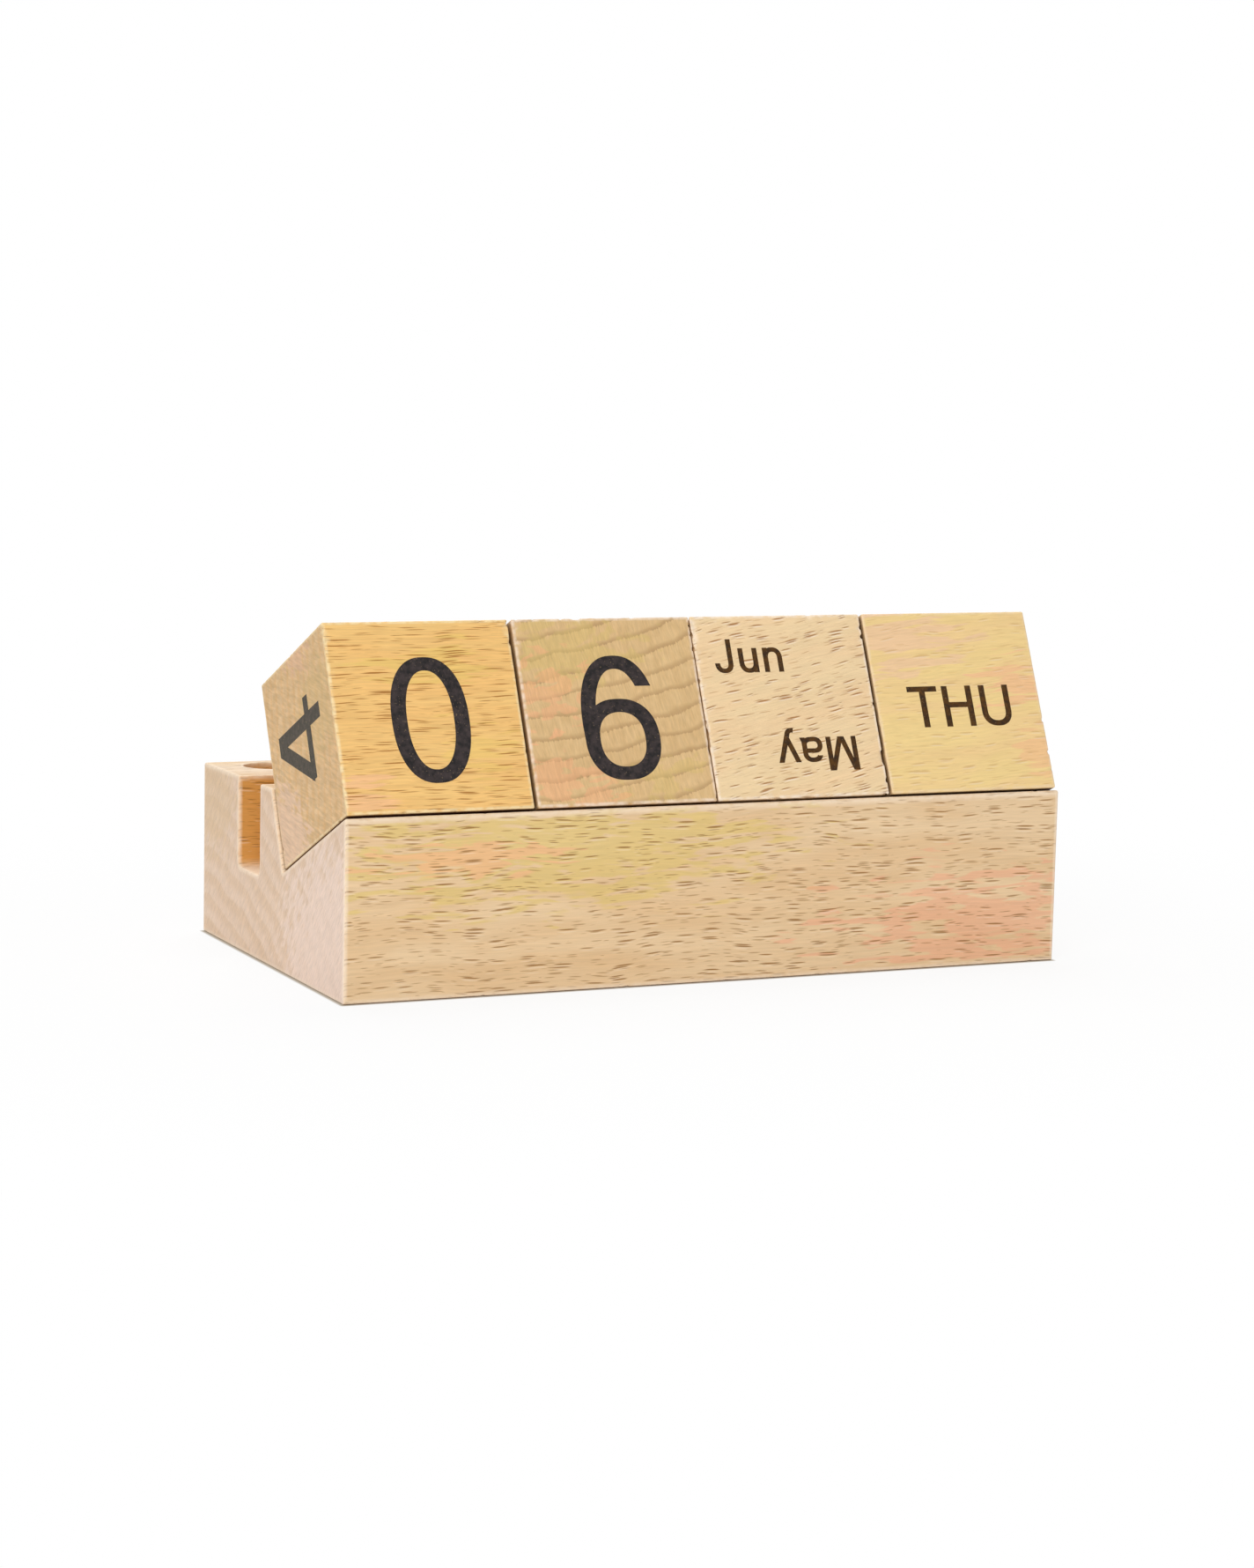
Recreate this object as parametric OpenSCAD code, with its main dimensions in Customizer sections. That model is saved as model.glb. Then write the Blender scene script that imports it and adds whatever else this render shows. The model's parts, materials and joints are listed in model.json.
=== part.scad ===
// Perpetual desk calendar: four loose wooden cubes seated side by side in the
// tilted groove of a one-piece base, with a phone slot and pen holes behind them.
// Millimetres, +Z up, origin at the centre of the base's underside. The cubes
// face -Y and run along X, from the day tens at -X to the weekday at +X.

/* [Cubes] */
// Side of every calendar cube
cube_side = 40.2; // [30:0.1:50]
// Gap between neighbouring cubes
cube_gap = 0.7; // [0.3:0.1:2]
// Radius of the sanded edges of a cube
cube_edge_radius = 0.4; // [0.2:0.1:2]

/* [Groove] */
// Angle by which the seated cubes lean back
groove_tilt = 24; // [12:1:35]
// Clearance between a seated cube and each groove wall
seat_clearance = 0.45; // [0.1:0.05:0.8]

/* [Base block] */
// Height of the base
base_height = 37.5; // [32:0.5:50]
// How far the base runs past the row of cubes at each end
end_margin = 0.3; // [0.1:0.1:5]
// Thickness, at the top, of the rib between the groove and the phone slot
rib_width = 7.5; // [5:0.5:15]
// Thickness of the rail behind the phone slot
rail_depth = 24; // [18:0.5:35]
// Radius of the sanded outer edges of the base
base_edge_radius = 0.5; // [0.3:0.1:2]

/* [Phone slot] */
// Width of the slot, from the rib to the rail
slot_width = 14; // [8:0.5:20]
// Depth of the slot below the top of the base
slot_depth = 19.5; // [10:0.5:25]

/* [Pen holes] */
// Diameter of each pen hole
pen_hole_diameter = 12; // [7:0.5:14]
// Depth of each pen hole
pen_hole_depth = 26; // [15:0.5:28]
// Number of pen holes
pen_hole_count = 2; // [2:1:6]
// Distance of the outer holes' axes from the ends of the base
pen_hole_end_inset = 12.5; // [9:0.5:20]
// Distance of the holes' axes from the back of the base
pen_hole_back_inset = 8.5; // [8:0.5:14]

/* [Hidden] */
$fn = 64;
overcut = 1; // how far a cutter runs past the face that it opens

cube_count = 4;
cube_pitch = cube_side + cube_gap;
row_length = cube_count * cube_pitch - cube_gap;
base_length = row_length + 2 * end_margin;

// The groove is a right-angled V. Its front wall starts at the front top edge of
// the base and is as long as a seated cube needs; its rear wall ends at the rib.
groove_front_wall = cube_side + seat_clearance;
groove_bottom_drop = groove_front_wall * sin(groove_tilt);
groove_bottom_run = groove_front_wall * cos(groove_tilt);
groove_width = groove_bottom_run + groove_bottom_drop * tan(groove_tilt);

base_depth = groove_width + rib_width + slot_width + rail_depth;
front_y = -base_depth / 2;
groove_bottom = [0, front_y + groove_bottom_run, base_height - groove_bottom_drop];
slot_front_y = front_y + groove_width + rib_width;
pen_hole_pitch = (base_length - 2 * pen_hole_end_inset) / (pen_hole_count - 1);

beech = "burlywood";
yellow_beech = "sandybrown";
grey_beech = "tan";
pale_beech = "wheat";

// Rectangle centred on the origin, with round corners of radius r
module rounded_rectangle(size, r) {
    square([size.x - 2 * r, size.y], center = true);
    square([size.x, size.y - 2 * r], center = true);
    for (sx = [-1, 1], sy = [-1, 1])
        translate([sx * (size.x / 2 - r), sy * (size.y / 2 - r)]) circle(r);
}

// Box centred on the origin, with every edge rounded to radius r
module rounded_box(size, r) {
    intersection() {
        linear_extrude(size.z, center = true) rounded_rectangle([size.x, size.y], r);
        rotate([90, 0, 90]) linear_extrude(size.x, center = true) rounded_rectangle([size.y, size.z], r);
        rotate([90, 0, 0]) linear_extrude(size.y, center = true) rounded_rectangle([size.x, size.z], r);
    }
}

// The V that the cubes sit in, cut through from end to end
module groove_cutter() {
    translate(groove_bottom) rotate([-groove_tilt, 0, 0])
        translate([-base_length / 2 - overcut, -groove_front_wall - overcut, 0])
            cube([base_length + 2 * overcut, groove_front_wall + overcut, cube_side]);
}

// The slot that a phone or a card stands in, cut through from end to end
module phone_slot_cutter() {
    translate([-base_length / 2 - overcut, slot_front_y, base_height - slot_depth])
        cube([base_length + 2 * overcut, slot_width, slot_depth + overcut]);
}

// The row of blind pen holes in the rail
module pen_hole_cutters() {
    for (i = [0 : pen_hole_count - 1])
        translate([
            -base_length / 2 + pen_hole_end_inset + i * pen_hole_pitch,
            base_depth / 2 - pen_hole_back_inset,
            base_height - pen_hole_depth
        ])
            cylinder(h = pen_hole_depth + overcut, d = pen_hole_diameter);
}

module base_block() {
    color(beech) difference() {
        translate([0, 0, base_height / 2])
            rounded_box([base_length, base_depth, base_height], base_edge_radius);
        groove_cutter();
        phone_slot_cutter();
        pen_hole_cutters();
    }
}

// One cube, resting in the groove at the given place in the row
module seated_cube(place) {
    x = -row_length / 2 + cube_side / 2 + place * cube_pitch;
    translate(groove_bottom + [x, 0, 0]) rotate([-groove_tilt, 0, 0])
        translate([0, -seat_clearance - cube_side / 2, seat_clearance + cube_side / 2])
            rounded_box([cube_side, cube_side, cube_side], cube_edge_radius);
}

module day_tens_cube() {
    color(yellow_beech) seated_cube(0);
}

module day_units_cube() {
    color(grey_beech) seated_cube(1);
}

module month_cube() {
    color(pale_beech) seated_cube(2);
}

module weekday_cube() {
    color(pale_beech) seated_cube(3);
}

base_block();
day_tens_cube();
day_units_cube();
month_cube();
weekday_cube();
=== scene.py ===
# Perpetual desk calendar in beech: a one-piece base whose tilted groove holds four loose
# printed cubes, with a phone slot and two pen holes behind them.
# Shapes are worked out in millimetres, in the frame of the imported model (+X along the row,
# the cubes facing -Y, +Z up), and become metres when they are put into a mesh.
import itertools
import json
import math

import bmesh
import bpy
import numpy as np
from mathutils import Matrix, Vector


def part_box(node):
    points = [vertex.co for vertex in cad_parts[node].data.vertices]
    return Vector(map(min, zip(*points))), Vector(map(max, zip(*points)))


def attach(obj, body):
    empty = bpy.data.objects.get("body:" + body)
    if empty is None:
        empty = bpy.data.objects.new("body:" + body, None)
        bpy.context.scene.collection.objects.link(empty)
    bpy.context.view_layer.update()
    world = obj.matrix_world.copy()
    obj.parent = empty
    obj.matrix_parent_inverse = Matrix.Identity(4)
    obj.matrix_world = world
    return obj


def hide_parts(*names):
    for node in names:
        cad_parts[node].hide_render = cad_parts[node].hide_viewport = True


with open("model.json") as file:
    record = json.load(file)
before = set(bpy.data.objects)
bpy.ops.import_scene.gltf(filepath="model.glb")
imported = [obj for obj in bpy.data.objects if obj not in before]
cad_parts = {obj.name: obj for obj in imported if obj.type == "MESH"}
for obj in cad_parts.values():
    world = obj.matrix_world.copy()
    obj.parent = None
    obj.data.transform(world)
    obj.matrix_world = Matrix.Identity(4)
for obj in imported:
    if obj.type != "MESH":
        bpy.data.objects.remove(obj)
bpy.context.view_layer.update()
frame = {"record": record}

MM = 0.001


def middle_and_size(node):
    """Middle and size of a CAD node's box, in millimetres."""
    low, high = (np.array(corner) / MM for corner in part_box(node))
    return (low + high) / 2, high - low


# Sizes. What the frame doesn't tell is written here, in millimetres and degrees.
BASE_MIDDLE, (BASE_LENGTH, BASE_DEPTH, BASE_HEIGHT) = middle_and_size("base_block")
CUBE_SIDE = middle_and_size("month_cube")[1][0]
LEAN = math.radians(24)
SEAT_CLEARANCE = 0.45
RIB_WIDTH = 7.5
SLOT_WIDTH = 14
SLOT_DEPTH = 19.5
CUBE_EDGE_RADIUS = 0.4
BASE_EDGE_RADIUS = 0.5
LIP_RADIUS = 0.3
FRONT_LIP_RADIUS = 0.5
SLOT_CORNER_RADIUS = 1.8
GROOVE_CORNER_RADIUS = 0.2
SLACK = 0.01  # in comparisons, for rounding errors
PEN_HOLES = [mount for mount in frame["record"]["mounts"] if mount["kind"] == "bore"]

# Directions of a seated cube, and for each of its sides the outward direction and the
# direction in which a print on that side reads
ACROSS = np.array([1.0, 0.0, 0.0])
REARWARD = np.array([0.0, math.cos(LEAN), -math.sin(LEAN)])
UPWARD = np.array([0.0, math.sin(LEAN), math.cos(LEAN)])
SIDES = {
    "front": (-REARWARD, ACROSS),
    "back": (REARWARD, -ACROSS),
    "top": (UPWARD, ACROSS),
    "bottom": (-UPWARD, ACROSS),
    "left": (-ACROSS, UPWARD),
    "right": (ACROSS, REARWARD),
}


# ---------------------------------------------------------------- mesh helpers


def smooth_noise(points, spacing, seed):
    """Noise from 0 to 1: random numbers on the knots of a cubic lattice of that spacing,
    blended between the eight knots round a point with the weights 3t^2 - 2t^3."""
    size = 32  # cells along each side of the lattice, which then repeats
    knots = np.random.default_rng(seed).random((size, size, size))
    scaled = points / spacing
    cell = np.floor(scaled).astype(int)
    share = scaled - cell
    share = share * share * (3 - 2 * share)
    total = np.zeros(len(points))
    for corner in itertools.product((0, 1), repeat=3):
        weight = np.prod(np.where(np.array(corner), share, 1 - share), axis=1)
        i, j, k = ((cell + corner) % size).T
        total += weight * knots[i, j, k]
    return total


def bites(points, rarity, seed):
    """Small chips: 1 inside a chip and 0 outside. A chip is where a mix of noises of 1 and
    4 mm exceeds rarity, with a border as wide as a tenth of the noise's range."""
    fine, coarse, border = 0.6, 0.4, 0.1
    noise = fine * smooth_noise(points, 1.0, seed) + coarse * smooth_noise(points, 4.0, seed + 1)
    return np.clip((noise - rarity) / border, 0, 1)


def grid_quads(rows, columns, close_rows=False, close_columns=False):
    """Corner numbers of the quads of a grid whose points are numbered row by row. A closed
    direction joins its last line to its first."""
    row = np.arange(rows if close_rows else rows - 1)[:, None]
    column = np.arange(columns if close_columns else columns - 1)[None, :]
    next_row, next_column = (row + 1) % rows, (column + 1) % columns
    corners = [(row, column), (next_row, column), (next_row, next_column), (row, next_column)]
    return np.stack([r * columns + c for r, c in corners], axis=-1)


def make_piece(name, points, faces, marks=None, smooth=True):
    """Mesh object from points in millimetres. Points in one place are merged, which closes
    the seams and poles, and all faces are turned outwards. marks are numbers from 0 to 1
    for each point, which the materials read by name."""
    same_place = 0.0005
    mesh = bpy.data.meshes.new(name)
    mesh.from_pydata((np.asarray(points) * MM).tolist(), [], faces)
    for mark, values in (marks or {}).items():
        attribute = mesh.attributes.new(mark, "FLOAT", "POINT")
        attribute.data.foreach_set("value", np.asarray(values, np.float32))
    cleaned = bmesh.new()
    cleaned.from_mesh(mesh)
    bmesh.ops.remove_doubles(cleaned, verts=cleaned.verts, dist=same_place * MM)
    bmesh.ops.recalc_face_normals(cleaned, faces=cleaned.faces)
    cleaned.to_mesh(mesh)
    cleaned.free()
    mesh.polygons.foreach_set("use_smooth", [smooth] * len(mesh.polygons))
    piece = bpy.data.objects.new(name, mesh)
    bpy.context.scene.collection.objects.link(piece)
    return piece


# ---------------------------------------------------------------- cubes


def cube_points(middle, lines, wear, rarity, worn, seed):
    """Points, quads and edge marks of a cube with sanded, slightly chipped edges.

    Each side is a grid of two parameters on the sharp cube. A point p moves to
    c + r (p - c) / |p - c|, where c is p clipped to the cube shrunk by the edge radius r,
    so flats stay flat and edges become round. Near the edges the surface then sinks by
    n^2 (0.04 s + wear b), where n falls from 1 at the edge to 0 at reach, s is noise and b
    is the chips of that rarity, which are commoner round the worn spot: their rarity falls
    by 0.2 exp(-(d / 5)^2), with d the distance from that spot."""
    half, radius, reach = CUBE_SIDE / 2, CUBE_EDGE_RADIUS, 1.2
    sanding, ripple, more_worn, worn_width = 0.04, 2.0, 0.2, 5
    inner = half - radius
    edge_angles = np.radians(np.linspace(11.25, 45, 4))
    bend = inner + radius * np.tan(edge_angles)
    steps = np.concatenate([-bend[::-1], np.linspace(-inner, inner, lines), bend])
    u, v = (g.ravel() for g in np.meshgrid(steps, steps, indexing="ij"))
    w = np.full_like(u, half)
    sharp = np.concatenate([
        np.stack([sign * w if axis == held else (u if axis == (held + 1) % 3 else v)
                  for axis in range(3)], axis=1)
        for held in range(3) for sign in (-1, 1)
    ])
    core = np.clip(sharp, -inner, inner)
    outward = sharp - core
    outward /= np.linalg.norm(outward, axis=1, keepdims=True)
    second = np.sort(np.abs(sharp), axis=1)[:, 1]
    near = np.clip((second - inner + reach) / reach, 0, 1)
    away = np.linalg.norm(sharp - np.array(worn) * half, axis=1)
    chips = bites(sharp, rarity - more_worn * np.exp(-(away / worn_width)**2), seed)
    sunk = near**2 * (sanding * smooth_noise(sharp, ripple, seed + 2) + wear * chips)
    local = core + outward * (radius - sunk[:, None])
    points = middle + local @ np.array([ACROSS, REARWARD, UPWARD])
    edge = np.maximum(second > inner - SLACK, near * chips)
    count = len(steps)
    quads = grid_quads(count, count).reshape(-1, 4)
    faces = np.concatenate([quads + side * count * count for side in range(6)])
    return points, faces.tolist(), {"edge": edge}


# ---------------------------------------------------------------- base


def rounded_outline(corners, reach):
    """Closed outline with its corners rounded, as arrays with one row a point.

    corners holds (place, radius, cut), anticlockwise, where cut marks the side that leaves
    the corner. With the outward directions n1 and n2 of the two sides at a corner and
    m = (n1 + n2) / (1 + n1.n2), the round runs along place - s r m + s r n while n turns
    from n1 to n2, with s = 1 on an outer corner and -1 on an inner one. Outer corners get
    a guard point on each side, far enough out to stay in order when the outline shrinks by
    reach. knee is the depth at which a rounded corner has shrunk to a point, and past it
    that point moves along m."""
    arc_points, margin = 7, 0.1
    rows = {key: [] for key in ("place", "normal", "knee", "mitre", "edge", "cut")}

    def add_points(*values):
        for key, value in zip(rows, values):
            rows[key].append(np.broadcast_to(value, (len(values[0]),) + np.shape(value)[1:]))

    for i, (spot, radius, cut_after) in enumerate(corners):
        cut_before = corners[i - 1][2]
        spot = np.array(spot, float)
        before = spot - np.array(corners[i - 1][0], float)
        after = np.array(corners[(i + 1) % len(corners)][0], float) - spot
        before /= np.linalg.norm(before)
        after /= np.linalg.norm(after)
        n1 = np.array([before[1], -before[0]])
        n2 = np.array([after[1], -after[0]])
        turn = math.atan2(n1[0] * n2[1] - n1[1] * n2[0], n1 @ n2)
        sign = math.copysign(1, turn)
        shift = (n1 + n2) / (1 + n1 @ n2)
        guard = (reach + margin) * math.tan(abs(turn) / 2)
        angles = math.atan2(n1[1], n1[0]) + np.linspace(0, turn, arc_points)
        around = np.stack([np.cos(angles), np.sin(angles)], axis=1)
        arc = spot - sign * radius * shift + sign * radius * around
        cuts = np.linspace(cut_before, cut_after, len(arc))[:, None]
        if sign > 0:
            add_points([spot - guard * before], [n1], [[np.inf]], [[0, 0]], [[0]], [[cut_before]])
            add_points(arc, around, [[radius]], [shift], [[1]], cuts)
            add_points([spot + guard * after], [n2], [[np.inf]], [[0, 0]], [[0]], [[cut_after]])
        else:
            add_points(arc, around, [[np.inf]], [[0, 0]], [[0]], cuts)
    return {key: np.concatenate(parts) for key, parts in rows.items()}


def base_piece():
    """The base: a Y-Z outline carried along X, with sanded corners and ends.

    At a station the outline is shrunk by a depth d. The ends are rounded because there
    x = L/2 - e + e sin(t) and d = e - e cos(t) for t from 0 to 90 degrees. The rail's top
    leaves out a square block of the grid at each pen hole. Rings that run from the
    block's border to the hole's rim fill it, and go on down the wall to the bottom. A
    narrow band round each end face keeps the shading of the face flat."""
    cap_border, wear, rarity, chip_seed = 0.6, 0.14, 0.76, 11
    block, block_steps = 6.9, 16  # half width of the square at a hole, and its grid
    round_steps, station_gap = 6, 0.5
    front = BASE_MIDDLE[1] - BASE_DEPTH / 2
    rear = front + BASE_DEPTH
    top = BASE_HEIGHT
    wall = CUBE_SIDE + SEAT_CLEARANCE
    groove_y, groove_z = front + wall * math.cos(LEAN), top - wall * math.sin(LEAN)
    rib_y = groove_y + (top - groove_z) * math.tan(LEAN)
    slot_y = rib_y + RIB_WIDTH
    rail_y = slot_y + SLOT_WIDTH
    floor = top - SLOT_DEPTH
    outline = rounded_outline([
        ((front, 0), BASE_EDGE_RADIUS, 0),
        ((rear, 0), BASE_EDGE_RADIUS, 0),
        ((rear, top), BASE_EDGE_RADIUS, 0),
        ((rail_y, top), LIP_RADIUS, 1),
        ((rail_y, floor), SLOT_CORNER_RADIUS, 0),
        ((slot_y, floor), SLOT_CORNER_RADIUS, 1),
        ((slot_y, top), LIP_RADIUS, 0),
        ((rib_y, top), LIP_RADIUS, 0.5),
        ((groove_y, groove_z), GROOVE_CORNER_RADIUS, 0.5),
        ((front, top), FRONT_LIP_RADIUS, 0),
    ], BASE_EDGE_RADIUS + cap_border)

    # the lines of the hole block, put into the outline where it crosses the rail's top
    place = outline["place"]
    hole_y = PEN_HOLES[0]["pos_m"][1] / MM
    first_line = 1 + int(np.flatnonzero((place[:, 1] == top) & (place[:, 0] > hole_y + block))[-1])
    lines = np.linspace(hole_y + block, hole_y - block, block_steps + 1)
    fresh = {"place": np.stack([lines, np.full_like(lines, top)], axis=1),
             "normal": [[0.0, 1.0]], "knee": [[np.inf]], "mitre": [[0.0, 0.0]],
             "edge": [[0.0]], "cut": [[0.0]]}
    for key, value in fresh.items():
        value = np.broadcast_to(value, (len(lines), np.shape(value)[1]))
        outline[key] = np.insert(outline[key], first_line, value, axis=0)
    place = outline["place"]
    around = len(place)

    # stations along X, with the shrink depth at each
    half, end_radius = BASE_LENGTH / 2, BASE_EDGE_RADIUS
    turn = np.radians(np.linspace(90, 0, round_steps))
    end_x = half - end_radius + end_radius * np.sin(turn)
    end_depth = end_radius - end_radius * np.cos(turn)
    holes_x = sorted(hole["pos_m"][0] / MM for hole in PEN_HOLES)
    knots = [-half + end_radius]
    for x in holes_x:
        knots += [x - block, x + block]
    knots.append(half - end_radius)
    spans = []
    for i, (start, stop) in enumerate(itertools.pairwise(knots)):
        over_hole = i % 2 == 1
        steps = block_steps if over_hole else max(2, round((stop - start) / station_gap))
        spans.append(np.linspace(start, stop, steps + 1)[:-1])
    middle_x = np.concatenate(spans)[1:]
    stations = np.concatenate([[-half], -end_x, middle_x, end_x[::-1], [half]])
    reach = end_radius + cap_border
    depth = np.concatenate([[reach], end_depth, np.zeros(len(middle_x)), end_depth[::-1], [reach]])
    rows = len(stations)

    x = np.broadcast_to(stations[:, None], (rows, around))
    spots = np.stack([x, *np.broadcast_to(place.T[:, None, :], (2, rows, around))], axis=-1)
    on_end = (depth < reach) & (half - np.abs(stations) < end_radius + SLACK)
    mark = np.maximum(outline["edge"].T * (depth < reach)[:, None], on_end[:, None])
    chips = bites(spots.reshape(-1, 3), rarity, chip_seed).reshape(rows, around)
    d = (depth[:, None] + wear * mark * chips)[..., None]
    knee = outline["knee"]
    shrunk = place - np.minimum(d, knee) * outline["normal"] - np.maximum(d - knee, 0) * outline["mitre"]
    points = np.concatenate([x[..., None], shrunk], axis=-1)
    cut = outline["cut"].T * np.clip(1 - depth / end_radius, 0, 1)[:, None]

    quads = grid_quads(rows, around, close_columns=True)
    keep = np.ones(quads.shape[:2], bool)
    starts = [int(np.argmin(np.abs(stations - (x0 - block)))) for x0 in holes_x]
    for start in starts:
        keep[start:start + block_steps, first_line:first_line + block_steps] = False
    faces = quads[keep].tolist()
    faces.append(list(range(around)))
    faces.append(list(range((rows - 1) * around, rows * around)))

    # a walk round the border of a block, as steps along and across
    step, none = np.arange(block_steps), np.zeros(block_steps, int)
    walk = np.concatenate([
        np.stack([step, none]),
        np.stack([none + block_steps, step]),
        np.stack([block_steps - step, none + block_steps]),
        np.stack([none, block_steps - step]),
    ], axis=1)

    all_points, edges, cuts = [points.reshape(-1, 3)], [mark.ravel()], [cut.ravel()]
    total = rows * around
    for start, hole in zip(starts, sorted(PEN_HOLES, key=lambda m: m["pos_m"][0])):
        border = points[start + walk[0], first_line + walk[1]]
        hole_points, hole_edge, hole_cut = hole_rings(border, hole)
        count = len(border)
        rings = len(hole_points) // count
        all_points.append(hole_points)
        edges.append(hole_edge)
        cuts.append(hole_cut)
        faces += (grid_quads(rings, count, close_columns=True).reshape(-1, 4) + total).tolist()
        total += len(hole_points)
    return make_piece("base", np.concatenate(all_points), faces,
                      {"edge": np.concatenate(edges), "cut": np.concatenate(cuts)})


def hole_rings(border, hole):
    """Rings of points from a block's border into a blind hole. On the rail's top they blend
    from the border to the rim's circle. The rim is a quarter round, the wall goes straight
    down, and the floor closes in one point. Also gives each point's edge and cut marks."""
    rim_round, floor_round, round_steps, wall_steps = 0.4, 0.6, 6, 8
    outer_gap, wall_start, inner_share = 0.35, 1.5, 0.45
    x, y = (value / MM for value in hole["pos_m"][:2])
    radius = hole["dims"]["r_mm"]
    top = border[0, 2]
    floor = top - hole["dims"]["length_mm"]
    angle = np.arctan2(border[:, 1] - y, border[:, 0] - x)
    turn = np.radians(np.linspace(0, 90, round_steps))
    path = [(radius + rim_round + outer_gap, top)]
    path += [(radius + rim_round - rim_round * math.sin(t), top - rim_round + rim_round * math.cos(t))
             for t in turn]
    path += [(radius, z) for z in np.linspace(top - wall_start, floor + floor_round, wall_steps)]
    path += [(radius - floor_round + floor_round * math.cos(t),
              floor + floor_round - floor_round * math.sin(t)) for t in turn[1:]]
    path += [(radius * inner_share, floor), (0, floor)]
    radii, heights = np.array(path).T
    circles = np.stack([
        x + radii[:, None] * np.cos(angle),
        y + radii[:, None] * np.sin(angle),
        np.broadcast_to(heights[:, None], (len(path), len(angle))),
    ], axis=-1)
    blends = [border + (circles[0] - border) * share for share in (0, 0.5)]
    points = np.concatenate([blends, circles])
    rim = len(blends) + 1
    edge, cut = np.zeros(len(points)), np.zeros(len(points))
    edge[rim:rim + round_steps] = 1
    cut[rim + round_steps - 2:] = 1  # from the lower end of the rim on down
    return points.reshape(-1, 3), np.repeat(edge, len(angle)), np.repeat(cut, len(angle))


# ---------------------------------------------------------------- prints

# Letters and figures of a plain sans serif, as strokes. A capital is 1 high and stands on
# 0. Each has its advance and its strokes. A pair is a point of a stroke's middle line, and
# six numbers are an arc: middle x and y, half width, half height, start and end in degrees.
LETTERS = {
    "A": (0.932, [[(0.08, 0), (0.466, 1)], [(0.466, 1), (0.852, 0)], [(0.2, 0.34), (0.73, 0.34)]]),
    "D": (1.009, [[(0.184, 0), (0.184, 1)],
                  [(0.184, 0.938), (0.43, 0.5, 0.426, 0.438, 90, -90), (0.184, 0.062)]]),
    "E": (0.932, [[(0.184, 0), (0.184, 1)], [(0.184, 0.938), (0.85, 0.938)],
                  [(0.184, 0.52), (0.82, 0.52)], [(0.184, 0.062), (0.87, 0.062)]]),
    "F": (0.853, [[(0.184, 0), (0.184, 1)], [(0.184, 0.938), (0.8, 0.938)], [(0.184, 0.48), (0.74, 0.48)]]),
    "H": (1.009, [[(0.186, 0), (0.186, 1)], [(0.823, 0), (0.823, 1)], [(0.186, 0.535), (0.823, 0.535)]]),
    "I": (0.388, [[(0.194, 0), (0.194, 1)]]),
    "J": (0.7, [[(0.516, 1), (0.307, 0.29, 0.209, 0.228, 0, -180)]]),
    "M": (1.164, [[(0.177, 0), (0.177, 1)], [(0.215, 1), (0.565, 0)], [(0.948, 1), (0.598, 0)],
                  [(0.986, 0), (0.986, 1)]]),
    "N": (1.009, [[(0.184, 0), (0.184, 1)], [(0.215, 1), (0.794, 0)], [(0.825, 0), (0.825, 1)]]),
    "O": (1.086, [[(0.543, 0.5, 0.403, 0.447, 0, 360)]]),
    "R": (1.009, [[(0.186, 0), (0.186, 1)],
                  [(0.186, 0.938), (0.59, 0.7, 0.215, 0.238, 90, -90), (0.186, 0.462)],
                  [(0.53, 0.48), (0.86, 0)]]),
    "S": (0.932, [[(0.46, 0.722, 0.31, 0.222, 12, 270), (0.46, 0.278, 0.33, 0.222, 90, -168)]]),
    "T": (0.853, [[(0.032, 0.938), (0.826, 0.938)], [(0.429, 0), (0.429, 1)]]),
    "U": (1.009, [[(0.184, 1), (0.504, 0.36, 0.32, 0.304, 180, 360), (0.825, 1)]]),
    "W": (1.318, [[(0.09, 1), (0.345, 0)], [(0.345, 0), (0.659, 1)], [(0.659, 1), (0.973, 0)],
                  [(0.973, 0), (1.228, 1)]]),
    "a": (0.777, [[(0.37, 0.46, 0.235, 0.207, 160, 0), (0.605, 0.13), (0.65, 0)],
                  [(0.605, 0.39), (0.3, 0.225, 0.19, 0.17, 90, 270), (0.37, 0.23, 0.235, 0.175, 270, 355)]]),
    "b": (0.777, [[(0.16, 0), (0.16, 1)], [(0.4, 0.362, 0.24, 0.305, 0, 360)]]),
    "c": (0.7, [[(0.365, 0.362, 0.255, 0.305, 35, 325)]]),
    "e": (0.777, [[(0.12, 0.375), (0.65, 0.375)], [(0.385, 0.362, 0.265, 0.305, 2, 325)]]),
    "g": (0.777, [[(0.37, 0.362, 0.24, 0.305, 0, 360)],
                  [(0.61, 0.725), (0.375, -0.03, 0.235, 0.19, 0, -160)]]),
    "l": (0.31, [[(0.155, 0), (0.155, 1)]]),
    "n": (0.777, [[(0.166, 0), (0.166, 0.725)],
                  [(0.166, 0.42), (0.388, 0.42, 0.222, 0.247, 180, 0), (0.609, 0)]]),
    "o": (0.777, [[(0.388, 0.362, 0.265, 0.305, 0, 360)]]),
    "p": (0.777, [[(0.166, -0.275), (0.166, 0.725)], [(0.406, 0.362, 0.24, 0.305, 0, 360)]]),
    "r": (0.465, [[(0.166, 0), (0.166, 0.725)], [(0.166, 0.4), (0.4, 0.4, 0.234, 0.267, 180, 80)]]),
    "t": (0.388, [[(0.205, 0.93), (0.33, 0.17, 0.125, 0.112, 180, 275)], [(0.02, 0.662), (0.37, 0.662)]]),
    "u": (0.777, [[(0.166, 0.725), (0.388, 0.305, 0.222, 0.247, 180, 360), (0.609, 0.34)],
                  [(0.609, 0), (0.609, 0.725)]]),
    "v": (0.7, [[(0.08, 0.725), (0.35, 0)], [(0.35, 0), (0.62, 0.725)]]),
    "y": (0.7, [[(0.08, 0.725), (0.355, 0)], [(0.625, 0.725), (0.17, -0.06, 0.16, 0.165, -14, -105)]]),
}
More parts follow.
